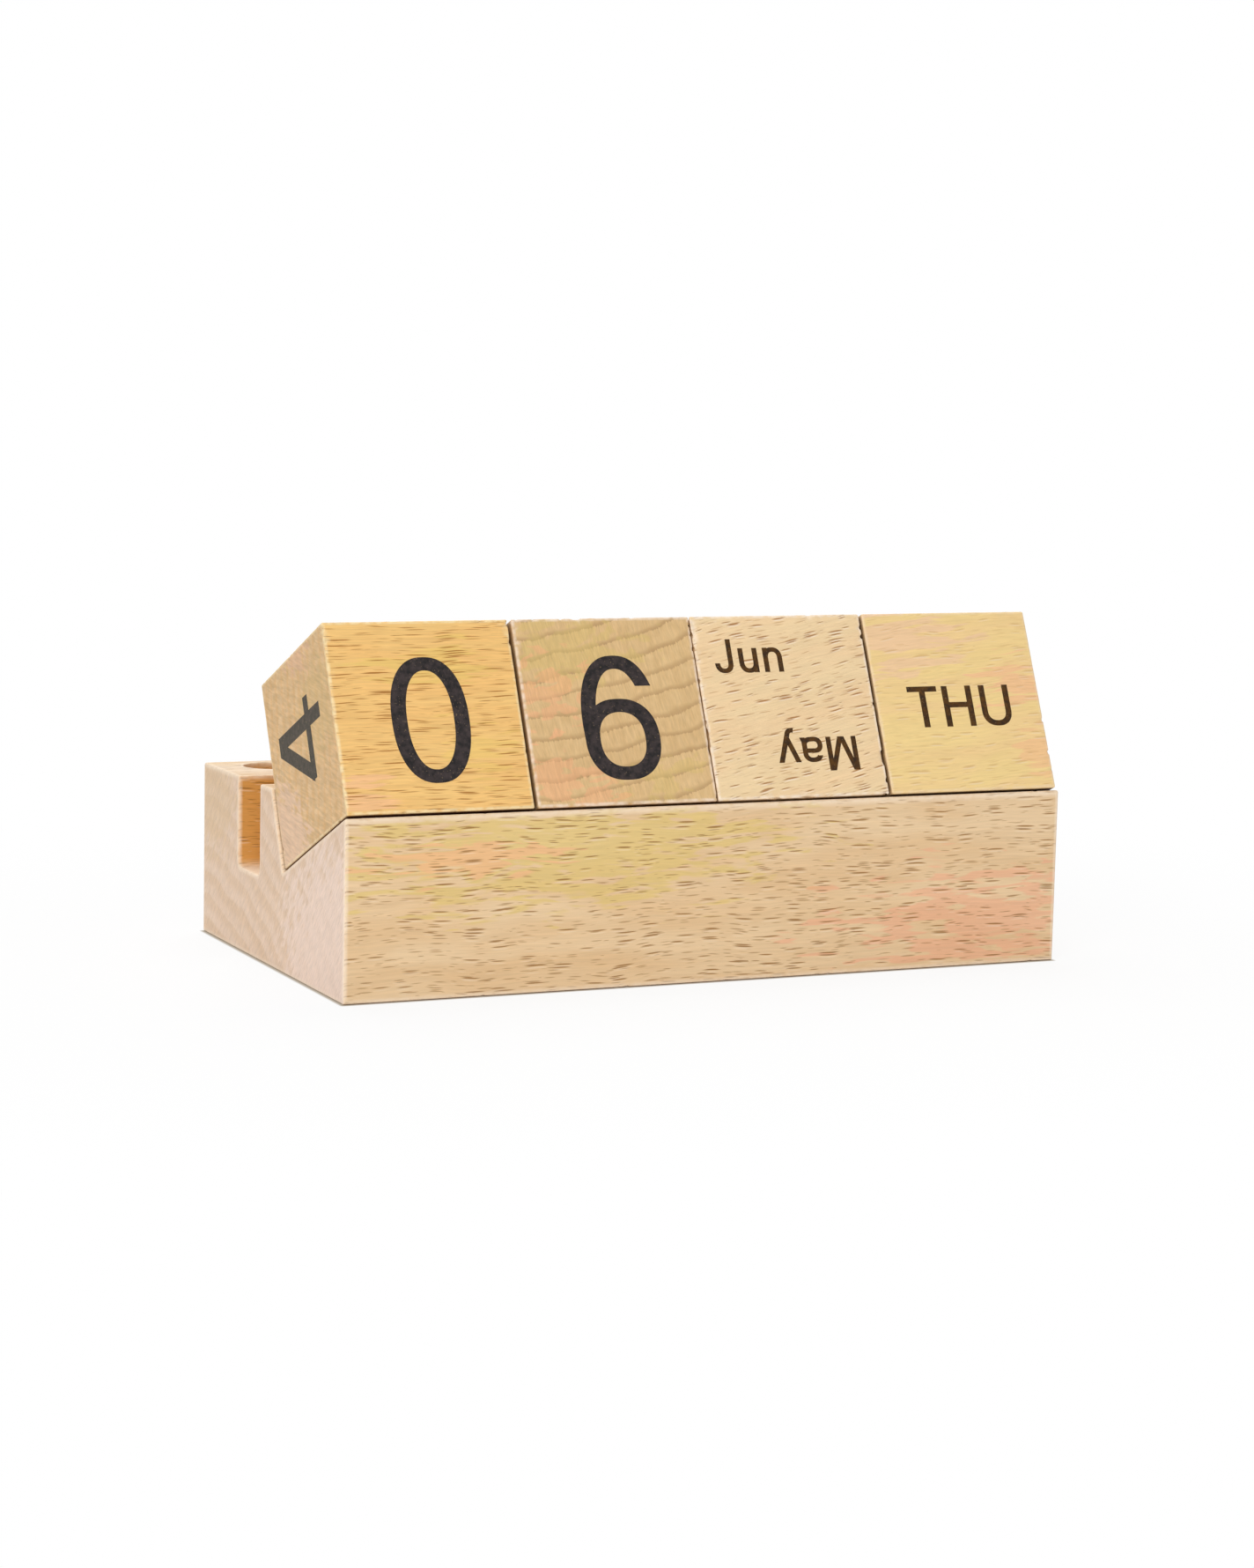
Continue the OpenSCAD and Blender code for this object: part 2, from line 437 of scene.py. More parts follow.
FIGURES = {
    "0": [[(0.315, 0.5, 0.253, 0.447, 0, 360)]],
    "1": [[(0.37, 0), (0.37, 1)], [(0.37, 0.93), (0.27, 0.82), (0.09, 0.735)]],
    "2": [[(0.325, 0.7, 0.25, 0.247, 168, -38), (0.1, 0.053)], [(0.04, 0.053), (0.62, 0.053)]],
    "3": [[(0.315, 0.735, 0.215, 0.212, 160, -90)], [(0.315, 0.29, 0.253, 0.237, 90, -165)]],
    "4": [[(0.481, 0), (0.481, 1)], [(0, 0.292), (0.674, 0.292)], [(0.455, 1), (0.05, 0.292)]],
    "5": [[(0.57, 0.947), (0.15, 0.947)], [(0.165, 0.947), (0.085, 0.46)],
          [(0.3, 0.33, 0.265, 0.277, 142, -165)]],
    "6": [[(0.325, 0.452, 0.265, 0.495, 34, 180), (0.317, 0.325, 0.252, 0.272, 180, 540)]],
    "7": [[(0.04, 0.947), (0.62, 0.947)], [(0.82, 0, 0.6, 1.03, 114, 180)]],
    "8": [[(0.315, 0.735, 0.205, 0.212, 0, 360)], [(0.315, 0.29, 0.253, 0.237, 0, 360)]],
}
ROUNDNESS = 2.3  # exponent of the arcs: 2 is an ellipse, and more is squarer
LETTER_STROKES = (0.156, 0.132)  # width of upright and of level strokes, for a capital of 1
FIGURE_STROKES = (0.124, 0.106)

# What each side carries: text, capital height, left end and foot line from the side's
# middle, and the half turns of the print. A pair is two months, or the two days that share
# a side.
FIGURE_HEIGHT = 26.6
PAIR_HEIGHT = 7.4
DAY_HEIGHT = 9.1


def figure(text, left=-8.2, foot=-13.4, height=FIGURE_HEIGHT):
    """One large figure on a side."""
    return [(text, height, left, foot, 0)]


def month_pair(upright, turned):
    """Two months on a side, the second one upside down at the other corner."""
    return [(upright, PAIR_HEIGHT, -16.0, 7.5, 0), (turned, PAIR_HEIGHT, -14.9, 7.1, 1)]


def weekday(text):
    """One weekday in the middle of a side."""
    middle, foot = 0.4, -5.7
    width = DAY_HEIGHT * sum(LETTERS[letter][0] for letter in text)
    return [(text, DAY_HEIGHT, middle - width / 2, foot, 0)]


PRINTS = {
    "day_tens": {
        "front": figure("0", -8.0, -14.1, 26.4), "left": figure("4", -8.0, -12.5, 26.0),
        "top": figure("1"), "right": figure("2"), "back": figure("3"), "bottom": figure("5"),
    },
    "day_units": {
        "front": figure("6", -7.6, -14.9, 26.7), "top": figure("7"), "left": figure("0"),
        "right": figure("1"), "back": figure("8"), "bottom": figure("2"),
    },
    "month": {
        "front": month_pair("Jun", "May"), "top": month_pair("Aug", "Jul"),
        "back": month_pair("Dec", "Nov"), "bottom": month_pair("Apr", "Mar"),
        "left": month_pair("Feb", "Jan"), "right": month_pair("Oct", "Sep"),
    },
    "weekday": {
        "front": weekday("THU"), "top": weekday("FRI"), "back": weekday("TUE"),
        "bottom": weekday("WED"), "left": weekday("MON"),
        "right": [("SAT", PAIR_HEIGHT, -10.2, 5.6, 0), ("SUN", PAIR_HEIGHT, -10.9, 5.6, 1)],
    },
}


def trace(path):
    """Points along the middle line of a stroke. An arc follows the superellipse
    x = a |cos t|^(2/n), y = b |sin t|^(2/n), with the signs of cos t and sin t."""
    degrees_apart, shortest = 5, 1e-4
    parts = []
    for step in path:
        if len(step) == 2:
            parts.append(np.array([step], float))
            continue
        x, y, half_width, half_height, start, end = step
        angle = np.radians(np.linspace(start, end, 2 + abs(end - start) // degrees_apart))
        cos, sin = np.cos(angle), np.sin(angle)
        power = 2 / ROUNDNESS
        parts.append(np.stack([
            x + half_width * np.sign(cos) * np.abs(cos)**power,
            y + half_height * np.sign(sin) * np.abs(sin)**power,
        ], axis=1))
    line = np.concatenate(parts)
    apart = np.linalg.norm(np.diff(line, axis=0), axis=1) > shortest
    return line[np.concatenate([[True], apart])]


def stroke_slab(line, widths, low, high, rise):
    """Thin closed slab of ink along a line: its left and right borders lie half a stroke
    from the line, and its section is a rectangle from low to high. An end that runs
    upwards is cut level. The slab gains rise along its length, so that a stroke that
    meets itself doesn't lie in its own plane."""
    sharpest_bend, runs_upwards = 0.8, 0.6
    closed = np.allclose(line[0], line[-1])
    if closed:
        line = line[:-1]
    before = line - np.roll(line, 1, axis=0)
    after = np.roll(line, -1, axis=0) - line
    if not closed:
        before[0], after[-1] = after[0], before[-1]
    before /= np.linalg.norm(before, axis=1, keepdims=True)
    after /= np.linalg.norm(after, axis=1, keepdims=True)
    ahead = before + after
    ahead /= np.linalg.norm(ahead, axis=1, keepdims=True)
    aside = np.stack([-ahead[:, 1], ahead[:, 0]], axis=1)
    upright, level = widths
    half = (level + (upright - level) * np.abs(ahead[:, 1])) / 2
    half = half / np.clip(np.sum(ahead * before, axis=1), sharpest_bend, 1)
    left, right = line + aside * half[:, None], line - aside * half[:, None]
    if not closed:
        for end in (0, -1):
            if abs(ahead[end, 1]) > runs_upwards:
                slide = aside[end, 1] * half[end] / ahead[end, 1] * ahead[end]
                left[end] -= slide
                right[end] += slide
    count = len(line)
    lift = np.linspace(0, rise, count)[:, None]
    bottom, face = np.full((count, 1), low), np.full((count, 1), high) + lift
    section = [np.hstack([left, bottom]), np.hstack([left, face]),
               np.hstack([right, face]), np.hstack([right, bottom])]
    points = np.stack(section, axis=1).reshape(-1, 3)
    faces = grid_quads(count, 4, close_rows=closed, close_columns=True).reshape(-1, 4).tolist()
    if not closed:
        last = (count - 1) * 4
        faces += [[0, 1, 2, 3], [last, last + 1, last + 2, last + 3]]
    return points, faces


def print_piece(name, middle, sides):
    """The ink on all six sides of a cube, as one piece."""
    sunk, proud, step = 0.01, 0.02, 0.003
    points, faces, total = [], [], 0
    for side, texts in sides.items():
        outward, right = SIDES[side]
        up = np.cross(outward, right)
        for text, height, left, foot, turned in texts:
            sign = -1 if turned else 1
            for letter in text:
                advance, strokes = LETTERS.get(letter) or (0, FIGURES[letter])
                widths = FIGURE_STROKES if letter in FIGURES else LETTER_STROKES
                for order, path in enumerate(strokes):
                    lift = proud + order * step
                    slab, slab_faces = stroke_slab(
                        trace(path) * height, np.array(widths) * height, -sunk, lift, step)
                    u, v, w = slab.T[:, :, None]
                    points.append(middle + sign * ((left + u) * right + (foot + v) * up)
                                  + (CUBE_SIDE / 2 + w) * outward)
                    faces += [[total + corner for corner in face] for face in slab_faces]
                    total += len(slab)
                left += advance * height
    return make_piece(name, np.concatenate(points), faces, smooth=False)


# ---------------------------------------------------------------- materials


def linear(colour):
    """Linear red, green, blue and full alpha of an sRGB hex colour such as "#DFBE8B"."""
    parts = [int(colour[i:i + 2], 16) / 255 for i in (1, 3, 5)]
    return [c / 12.92 if c <= 0.04045 else ((c + 0.055) / 1.055)**2.4 for c in parts] + [1.0]


def set_inputs(tree, node, inputs):
    """Fills a node's inputs: by a link where the value is an output or a node, whose first
    output is then meant, and as a value otherwise."""
    for key, value in inputs.items():
        if isinstance(value, bpy.types.Node):
            value = value.outputs[0]
        if isinstance(value, bpy.types.NodeSocket):
            tree.links.new(value, node.inputs[key])
        else:
            node.inputs[key].default_value = value


def add(tree, kind, inputs=None, **settings):
    """Adds a node, sets its properties and fills its inputs. kind is a node's kind, or a
    pair of a kind and its settings."""
    if isinstance(kind, tuple):
        kind, settings = kind
    node = tree.nodes.new("ShaderNode" + kind)
    for name, value in settings.items():
        setattr(node, name, value)
    set_inputs(tree, node, inputs or {})
    return node


# Pairs that are used often
MIX = ("Mix", {"data_type": "RGBA"})
FACTOR, FIRST, SECOND, MIXED = 0, 6, 7, 2  # sockets of a Mix node that mixes colours
DIVIDE = ("Mapping", {"vector_type": "TEXTURE"})  # divides a place by its scale
SOFT = ("MapRange", {"interpolation_type": "SMOOTHSTEP"})
TIMES = ("Math", {"operation": "MULTIPLY"})
TIMES_PLUS = ("Math", {"operation": "MULTIPLY_ADD"})


def new_material(name):
    """An empty node material, its tree and its Principled shader."""
    material = bpy.data.materials.new(name)
    material.use_nodes = True
    return material, material.node_tree, material.node_tree.nodes["Principled BSDF"]


def grain_turn(along, radial):
    """Rotation that turns a piece's axes into grain axes: X along the grain, Z radially out
    from the tree's middle and Y along the growth rings."""
    along, radial = Vector(along).normalized(), Vector(radial)
    radial = (radial - along * radial.dot(along)).normalized()
    return Matrix((along, radial.cross(along), radial)).transposed().to_euler()


def streaks(tree, grain, size, low, high):
    """Noise stretched to size (along, across, radial) in millimetres, spread from 0 to 1
    between its values low and high."""
    place = add(tree, DIVIDE, {"Vector": grain, "Scale": size})
    noise = add(tree, "TexNoise", {
        "Vector": place, "Scale": 1.0, "Detail": 2.0, "Distortion": 0.4})
    return add(tree, "MapRange", {"Value": noise, "From Min": low, "From Max": high})


def ray_flecks(tree, grain, size, reaches, strength, shift=0.0):
    """Medullary rays cut open: thin lens-shaped spots of that strength, one to each cell of
    a Voronoi pattern whose cells are stretched to size (along, across, radial) in
    millimetres. Each cell's random number picks the spot's reach between the two reaches.
    shift moves the whole pattern across the grain."""
    cells = add(tree, DIVIDE, {"Vector": grain, "Location": (0, shift, 0), "Scale": size})
    spots = add(tree, "TexVoronoi", {"Vector": cells, "Scale": 1.0})
    chance = add(tree, "SeparateColor", {"Color": spots.outputs["Color"]})
    reach = add(tree, "MapRange", {
        "Value": chance, "To Min": reaches[0], "To Max": reaches[1]})
    core = add(tree, TIMES, {0: reach, 1: 0.5})
    return add(tree, SOFT, {
        "Value": spots.outputs["Distance"], "From Min": reach, "From Max": core, "To Max": strength})


def lay_over(tree, colour, layers):
    """The colour with layers laid over it in turn. Each layer is two numbers or nodes whose
    product is its share, and its own colour in hex."""
    for first, second, layer in layers:
        share = add(tree, TIMES, {0: first, 1: second})
        colour = add(tree, MIX, {
            FACTOR: share, FIRST: colour, SECOND: linear(layer)}).outputs[MIXED]
    return colour


def beech(name, middle, turn, finish):
    """Sanded, unvarnished beech: a pale, warm, close-grained wood with a soft sheen, known
    by its short dark ray flecks. The pattern is solid, so every side shows its own cut:
    thin dashes along the grain on the long sides, and growth rings crossed by fine radial
    lines on the ends."""
    material, tree, shader = new_material(name)
    place = add(tree, "TexCoord")
    straight = add(tree, DIVIDE, {
        "Vector": place.outputs["Object"], "Location": Vector(middle) * MM,
        "Rotation": turn, "Scale": (MM, MM, MM)})

    # the grain wanders: slow bends about 20 mm long and small ones about 4 mm long
    grain = straight
    for scale, detail, sway in ((0.05, 1.0, finish["bend"]), (0.22, 0.0, finish["wobble"])):
        waves = add(tree, "TexNoise", {"Vector": straight, "Scale": scale, "Detail": detail})
        grain = add(tree, "VectorMath", {
            0: waves.outputs["Color"], 1: sway, 2: grain}, operation="MULTIPLY_ADD")

    # how squarely the surface cuts the grain and the rays: the first gives the share of end
    # grain, and where it hardly cuts the rays, they show broad and faint
    cuts = []
    for axis in (0, 2):
        cut = add(tree, "VectorMath", {
            0: place.outputs["Normal"], 1: turn.to_matrix().col[axis]}, operation="DOT_PRODUCT")
        cuts.append(add(tree, "Math", {0: cut.outputs["Value"]}, operation="ABSOLUTE"))
    end = add(tree, SOFT, {"Value": cuts[0], "From Min": 0.55, "From Max": 0.9})
    faint = add(tree, SOFT, {
        "Value": cuts[1], "From Min": 0.1, "From Max": 0.6, "To Min": 0.2, "To Max": 1.0})

    # slow change of tone, drawn out along the grain, and the end grain's own tone and mottle
    tone = streaks(tree, grain, (30, 5, 9), 0.38, 0.62)
    mottle = add(tree, TIMES, {
        0: streaks(tree, grain, (20, 1.8, 2.6), 0.35, 0.65), 1: finish["end_mottle"]})
    layers = [
        (tone, 1.0, finish["wood_2"]),
        (end, finish["end_share"], finish["end_wood"]),
        (end, mottle, finish["end_late"]),
    ]

    # growth rings: the distance from the tree's middle, in steps of the ring's width, as a
    # line that darkens slowly outwards and stops sharply
    ring_place = add(tree, "Mapping", {
        "Vector": grain, "Location": (0, *finish["pith"]), "Scale": (0, 1, 1)})
    distance = add(tree, "VectorMath", {0: ring_place}, operation="LENGTH")
    phase = add(tree, "Math", {
        0: distance.outputs["Value"], 1: finish["ring_width"]}, operation="DIVIDE")
    uneven = add(tree, "TexNoise", {"Vector": straight, "Scale": 0.09, "Detail": 1.0})
    lines = streaks(tree, grain, finish["line_size"], 0.25, 0.75)
    for noise, amount in ((uneven, finish["ring_wave"]), (lines, finish["ring_jag"])):
        phase = add(tree, TIMES_PLUS, {0: noise, 1: amount, 2: phase})
    number = add(tree, "Math", {0: phase}, operation="FLOOR")
    own_tone = add(tree, "TexWhiteNoise", {"W": number}, noise_dimensions="1D")
    own_tone = add(tree, TIMES, {0: own_tone.outputs["Value"], 1: finish["ring_tone"]})
    within = add(tree, "Math", {0: phase}, operation="FRACT")
    rise, peak, fall = finish["ring_shape"]
    late = add(tree, SOFT, {"Value": within, "From Min": rise, "From Max": peak})
    early = add(tree, SOFT, {"Value": within, "From Min": 1.0, "From Max": fall})
    ring = add(tree, TIMES_PLUS, {0: late, 1: early, 2: own_tone})
    ring_share = add(tree, "MapRange", {
        "Value": end, "To Min": finish["ring_on_side"], "To Max": finish["ring_on_end"]})
    layers.append((ring_share, ring, finish["late_wood"]))

    # stains, and patches of painted light: each an ellipsoid whose border is torn into streaks, and a share
    # of its colour for the long sides and one for the ends
    torn = streaks(tree, grain, finish["patch_streak"], 0.3, 0.7)
    for spot, radii, patch_colour, tear, on_side, on_end in finish["stains_and_painted_light"]:
        patch_place = add(tree, DIVIDE, {
            "Vector": place.outputs["Object"], "Location": Vector(spot) * MM,
            "Scale": Vector(radii) * MM})
        away = add(tree, "VectorMath", {0: patch_place}, operation="LENGTH")
        ragged = add(tree, TIMES_PLUS, {0: torn, 1: tear, 2: away.outputs["Value"]})
        usual = 0.36 * tear  # most of what the tearing adds to the distance
        held = add(tree, SOFT, {
            "Value": ragged, "From Min": 1 + usual, "From Max": 0.65 + usual})
        share = add(tree, "MapRange", {"Value": end, "To Min": on_side, "To Max": on_end})
        layers.append((held, share, patch_colour))

    # sides cut by the groove, slot and hole cutters are a deeper orange: partly toasted by the cutters,
    # partly painted shade for the walls down in the slot and holes
    inside = add(tree, "Attribute", attribute_name="cut")
    layers.append((inside.outputs["Fac"], finish["cut_share"], finish["cut_wood_and_shade"]))
    colour = lay_over(tree, linear(finish["wood"]), layers)

    # light and dark fibres: long and 0.35 mm wide, and on the ends short radial lines
    fibre = streaks(tree, grain, (11, 0.35, 0.35), 0.25, 0.75)
    fibre_or_line = add(tree, "MapRange", {"Value": end, "To Min": fibre, "To Max": lines})
    contrast = add(tree, "MapRange", {
        "Value": end, "To Min": finish["fibre"], "To Max": finish["end_lines"]})
    change = add(tree, "Math", {0: fibre_or_line, 1: 0.5}, operation="SUBTRACT")
    bright = add(tree, TIMES_PLUS, {0: change, 1: contrast, 2: 1.0})
    colour = add(tree, "VectorMath", {0: colour, "Scale": bright}, operation="SCALE")

    # ray flecks: a weak set, a strong one, and a painted highlight, a pale line beside each strong fleck
    # where light would catch its lip
    fewer = add(tree, "MapRange", {
        "Value": end, "To Min": 1.0, "To Max": finish["fleck_on_end"]})
    fewer = add(tree, TIMES, {0: fewer, 1: faint})
    weak = ray_flecks(tree, grain, finish["weak_size"], finish["weak_fill"], fewer)
    strong, fleck_highlight = (
        ray_flecks(tree, grain, finish["strong_size"], finish["strong_fill"], fewer, shift)
        for shift in (0.0, finish["fleck_highlight_shift"]))

    # sanded edges: paler, partly from wear and partly as a painted highlight, and broken up by small chips
    edge = add(tree, "Attribute", attribute_name="edge")
    chip_place = add(tree, DIVIDE, {
        "Vector": place.outputs["Object"], "Scale": (1.6 * MM, 1.2 * MM, 1.2 * MM)})
    chips = add(tree, "TexNoise", {"Vector": chip_place, "Scale": 1.0, "Detail": 1.0})
    chips = add(tree, "MapRange", {
        "Value": chips, "From Min": finish["edge_from"], "From Max": 0.6, "To Max": finish["edge"]})

    # narrow gaps between the pieces get painted shade: where ambient occlusion finds them closed in, the
    # colour turns dark
    open_sky = add(tree, "AmbientOcclusion", {"Distance": 1.3 * MM}, samples=8)
    shade = add(tree, SOFT, {
        "Value": open_sky.outputs["AO"], "From Min": 0.15, "From Max": finish["shade_from"],
        "To Min": 1.0, "To Max": 0.0})
    colour = lay_over(tree, colour, [
        (fleck_highlight, finish["fleck_highlight"], finish["pale_edge_and_highlight"]),
        (weak, finish["weak"], finish["fleck"]),
        (strong, finish["strong"], finish["fleck"]),
        (chips, edge.outputs["Fac"], finish["pale_edge_and_highlight"]),
        (shade, 1.0, finish["painted_crevice_shade"]),
    ])

    # the strong flecks lie, and the fibres vary, a few hundredths of a millimetre deep
    height = add(tree, TIMES_PLUS, {0: strong, 1: -1.0, 2: fibre_or_line})
    bump = add(tree, "Bump", {
        "Height": height, "Strength": 1.0, "Distance": finish["relief"] * MM})
    roughness = add(tree, "MapRange", {"Value": fibre, "To Min": 0.5, "To Max": 0.62})
    set_inputs(tree, shader, {
        "Base Color": colour, "Normal": bump, "Roughness": roughness, "IOR": 1.45})
    return material


def screen_print_ink():
    """Matt black screen-printing ink on bare wood: a flat, faintly mottled near-black with
    tiny light specks where the ink missed an open pore. It is thin enough on the month and
    weekday cubes for the wood to warm it to a dark brown."""
    material, tree, shader = new_material("screen_print_ink")
    place = add(tree, "TexCoord")
    mm = add(tree, DIVIDE, {"Vector": place.outputs["Object"], "Scale": (MM, MM, MM)})
    mottle = add(tree, "TexNoise", {"Vector": mm, "Scale": 0.8, "Detail": 3.0})
    mottle = add(tree, "MapRange", {"Value": mottle, "From Min": 0.35, "From Max": 0.65})
    black = lay_over(tree, linear("#151214"), [(mottle, 1.0, "#393030")])
    brown = lay_over(tree, linear("#2A1600"), [(mottle, 1.0, "#523202")])

    # the month and weekday cubes stand right of the middle
    across = add(tree, "SeparateXYZ", {"Vector": mm})
    on_right = add(tree, "MapRange", {
        "Value": across.outputs["X"], "From Min": -1, "From Max": 1})
    colour = add(tree, MIX, {FACTOR: on_right, FIRST: black, SECOND: brown}).outputs[MIXED]

    pores = add(tree, "TexNoise", {"Vector": mm, "Scale": 2.6, "Detail": 1.0})
    specks = add(tree, SOFT, {"Value": pores, "From Min": 0.66, "From Max": 0.76})
    colour = lay_over(tree, colour, [(specks, 0.5, "#8F795A")])
    bump = add(tree, "Bump", {"Height": pores, "Strength": 0.4, "Distance": 0.03 * MM})
    set_inputs(tree, shader, {
        "Base Color": colour, "Normal": bump, "Roughness": 0.7, "Specular IOR Level": 0.25,
        "Sheen Weight": 0.3, "Sheen Roughness": 0.4, "Sheen Tint": linear("#E4D8B4")})
    return material


# What all five pieces of wood share, and what sets each apart. Sizes are in millimetres,
# and those of patterns run along, across and radially to the grain. bend and wobble are how
# far the grain wanders, and pith is the tree's middle. ring_shape is where in a ring its
# line starts, is darkest and has stopped, and ring_wave and ring_jag bend it by so many
# rings. _fill is the reach of the smallest and the largest fleck in its cell. The other
# numbers are strengths and thresholds, where 1 is full.
COMMON = {
    "bend": (0, 2.0, 3.0), "wobble": (0, 0.5, 0.5), "pith": (25, 120),
    "ring_width": 3.4, "ring_wave": 1.0, "ring_jag": 0.1, "ring_shape": (0.45, 0.93, 0.96),
    "ring_tone": 0.3, "ring_on_side": 0.12, "ring_on_end": 0.3,
    "end_share": 0.85, "end_mottle": 0.12, "end_late": "#CFA876", "end_lines": 0.2,
    "fibre": 0.14, "line_size": (6, 0.3, 2.2), "relief": 0.03,
    "patch_streak": (14, 1.5, 3), "stains_and_painted_light": (), "cut_share": 0.0, "cut_wood_and_shade": "#E8A85C",
    "strong_size": (6.5, 0.6, 12), "strong_fill": (0.04, 0.42), "strong": 0.75,
    "weak_size": (5, 0.45, 9), "weak_fill": (0.05, 0.45), "weak": 0.25,
    # the painted highlight beside the strong flecks: its share, and its shift across the grain
    "fleck_on_end": 0.12, "fleck_highlight": 0.0, "fleck_highlight_shift": -0.3,
    # pale edges: part wear, part painted highlight
    "edge": 0.35, "edge_from": 0.25, "pale_edge_and_highlight": "#F3DEC6",
    # colour of the painted shade in narrow gaps, and the openness below which it starts
    "painted_crevice_shade": "#522008", "shade_from": 0.7,
}
FINISHES = {
    "base": {
        "wood": "#EACCA2", "wood_2": "#E5C396", "late_wood": "#CFA876", "end_wood": "#EAD1BC",
        "bend": (0, 1.4, 2.0), "wobble": (0, 0.16, 0.2),
        "ring_width": 5.5, "ring_wave": 0.6, "ring_jag": 0.07, "ring_shape": (0.2, 0.7, 0.85),
        "ring_on_end": 0.26, "end_mottle": 0.2, "end_late": "#D2B090", "end_lines": 0.24,
        "fleck": "#96682C", "strong_size": (6.7, 0.3, 11), "strong_fill": (0.03, 0.45),
        "strong": 0.85, "weak_size": (5.1, 0.26, 8), "weak": 0.55, "fleck_on_end": 0.04,
        "fleck_highlight": 0.3, "edge": 0.6, "edge_from": -0.1, "pale_edge_and_highlight": "#FBE8D0",
        # the cut sides' deeper orange, partly painted shade
        "cut_share": 0.92, "cut_wood_and_shade": "#D39644", "shade_from": 0.5,
        "patch_streak": (11, 1.3, 3),
        "stains_and_painted_light": [((-36, -45, 29), (62, 10, 14), "#E0C474", 1.2, 0.68, 0),
                   ((66, -45, 11), (46, 14, 12), "#EEAE8A", 1.5, 0.6, 0),
                   ((-56, -45, 28), (22, 8, 5), "#F2B88A", 1.5, 0.65, 0),
                   # the left end is paler towards the front, and darker near the top at the rear
                   ((-82, -45, 4), (30, 46, 34), "#F2DACA", 0.5, 0, 0.75),
                   ((-82, 38, 34), (10, 18, 20), "#DCBE94", 0.6, 0, 0.5),
                   # painted light: the rail's top made paler, as where light from above falls on it
                   ((0, 33, 37.5), (130, 16, 4), "#FCEAD6", 0.4, 0.55, 0),
                   # painted light: the slot's floor near the left end made paler, as where light from above
                   # reaches it
                   ((-80, 14, 18), (12, 9, 1.5), "#FFEAD0", 0.2, 0.9, 0)],
    },
    "tens": {
        "wood": "#EFC379", "wood_2": "#EFBE74", "late_wood": "#DBA65F", "end_wood": "#DDBD92",
        "bend": (0, 1.2, 2.0), "wobble": (0, 0.2, 0.3), "ring_jag": 0.3, "ring_on_end": 0.34,
        "end_mottle": 0.4, "end_late": "#C49A5C", "end_lines": 0.3, "line_size": (6, 0.6, 4),
        "fleck": "#A8702A", "strong_size": (8.5, 0.32, 12), "strong_fill": (0.05, 0.46),
        "strong": 1.0, "weak_size": (6.5, 0.28, 9), "weak": 0.7, "fibre": 0.24,
        "edge": 0.7, "pale_edge_and_highlight": "#F8E4B4", "shade_from": 1.0,
        "stains_and_painted_light": [((-82, -9, 27), (12, 18, 15), "#E6C4A8", 0.5, 0, 0.7),
                   ((-82, -26, 58), (12, 14, 12), "#CFB076", 0.7, 0, 0.5),
                   ((-82, -12, 67), (12, 12, 6), "#E0B494", 0.8, 0, 0.55),
                   ((-58, -33, 66), (15, 10, 5), "#E4C468", 1.5, 0.5, 0),
                   ((-50, -40, 50), (8, 10, 8), "#E8C468", 1.8, 0.45, 0),
                   ((-78, -44, 41), (8, 7, 5), "#F3BA92", 1.5, 0.5, 0)],
    },
    "units": {
        "wood": "#DBBA84", "wood_2": "#DFB47C", "late_wood": "#A98355", "end_wood": "#E0BE8A",
        "bend": (0, 1.2, 1.2), "pith": (-6, -150), "ring_width": 4.3, "ring_wave": 0.8,
        "ring_jag": 0.13, "ring_shape": (0.68, 0.94, 0.985), "ring_on_end": 0.5,
        "end_mottle": 0.3, "end_late": "#C49E66", "line_size": (6, 0.4, 3), "fleck": "#B88B55",
        "edge": 0.7, "pale_edge_and_highlight": "#F6E2CE", "patch_streak": (14, 5, 2.4), "painted_crevice_shade": "#8A5C30",
        "stains_and_painted_light": [((-29, -32, 68), (20, 10, 9), "#D4B96E", 1.2, 0, 0.45),
                   ((-12, -42, 43), (12, 8, 6), "#D4B96E", 1.5, 0, 0.4),
                   ((-35, -35, 59), (9, 10, 8), "#EDAE80", 2.0, 0, 0.5),
                   ((-33, -42, 42), (12, 10, 8), "#EDAE80", 2.0, 0, 0.5)],
    },
    "month": {
        "wood": "#F0D4A6", "wood_2": "#F2D1A3", "late_wood": "#DDB98A", "end_wood": "#E2C49A",
        "fleck": "#A86E2E", "relief": 0.08, "edge": 0.8, "pale_edge_and_highlight": "#FCEAD4",
        "strong_size": (5.6, 0.48, 10), "strong_fill": (0.04, 0.44), "strong": 0.85, "fleck_highlight": 0.6,
        "weak": 0.4, "painted_crevice_shade": "#A87C4C",
    },
    "weekday": {
        "wood": "#F1D390", "wood_2": "#F1CF92", "late_wood": "#E0BB80", "end_wood": "#E0C08F",
        "fleck": "#C89C60", "strong": 0.45, "fleck_highlight": 0.3, "painted_crevice_shade": "#5A3616",
        "stains_and_painted_light": [((48, -31, 69), (17, 12, 9), "#EFC6A2", 1.5, 0.65, 0),
                   ((74, -36, 60), (9, 8, 7), "#F4BC90", 1.5, 0.65, 0),
                   ((78, -42, 47), (6, 8, 7), "#F2BC8C", 1.5, 0.6, 0)],
    },
}


def tilted(angle, first, second):
    """Unit direction turned by angle degrees from the first direction towards the second."""
    return math.cos(math.radians(angle)) * first + math.sin(math.radians(angle)) * second


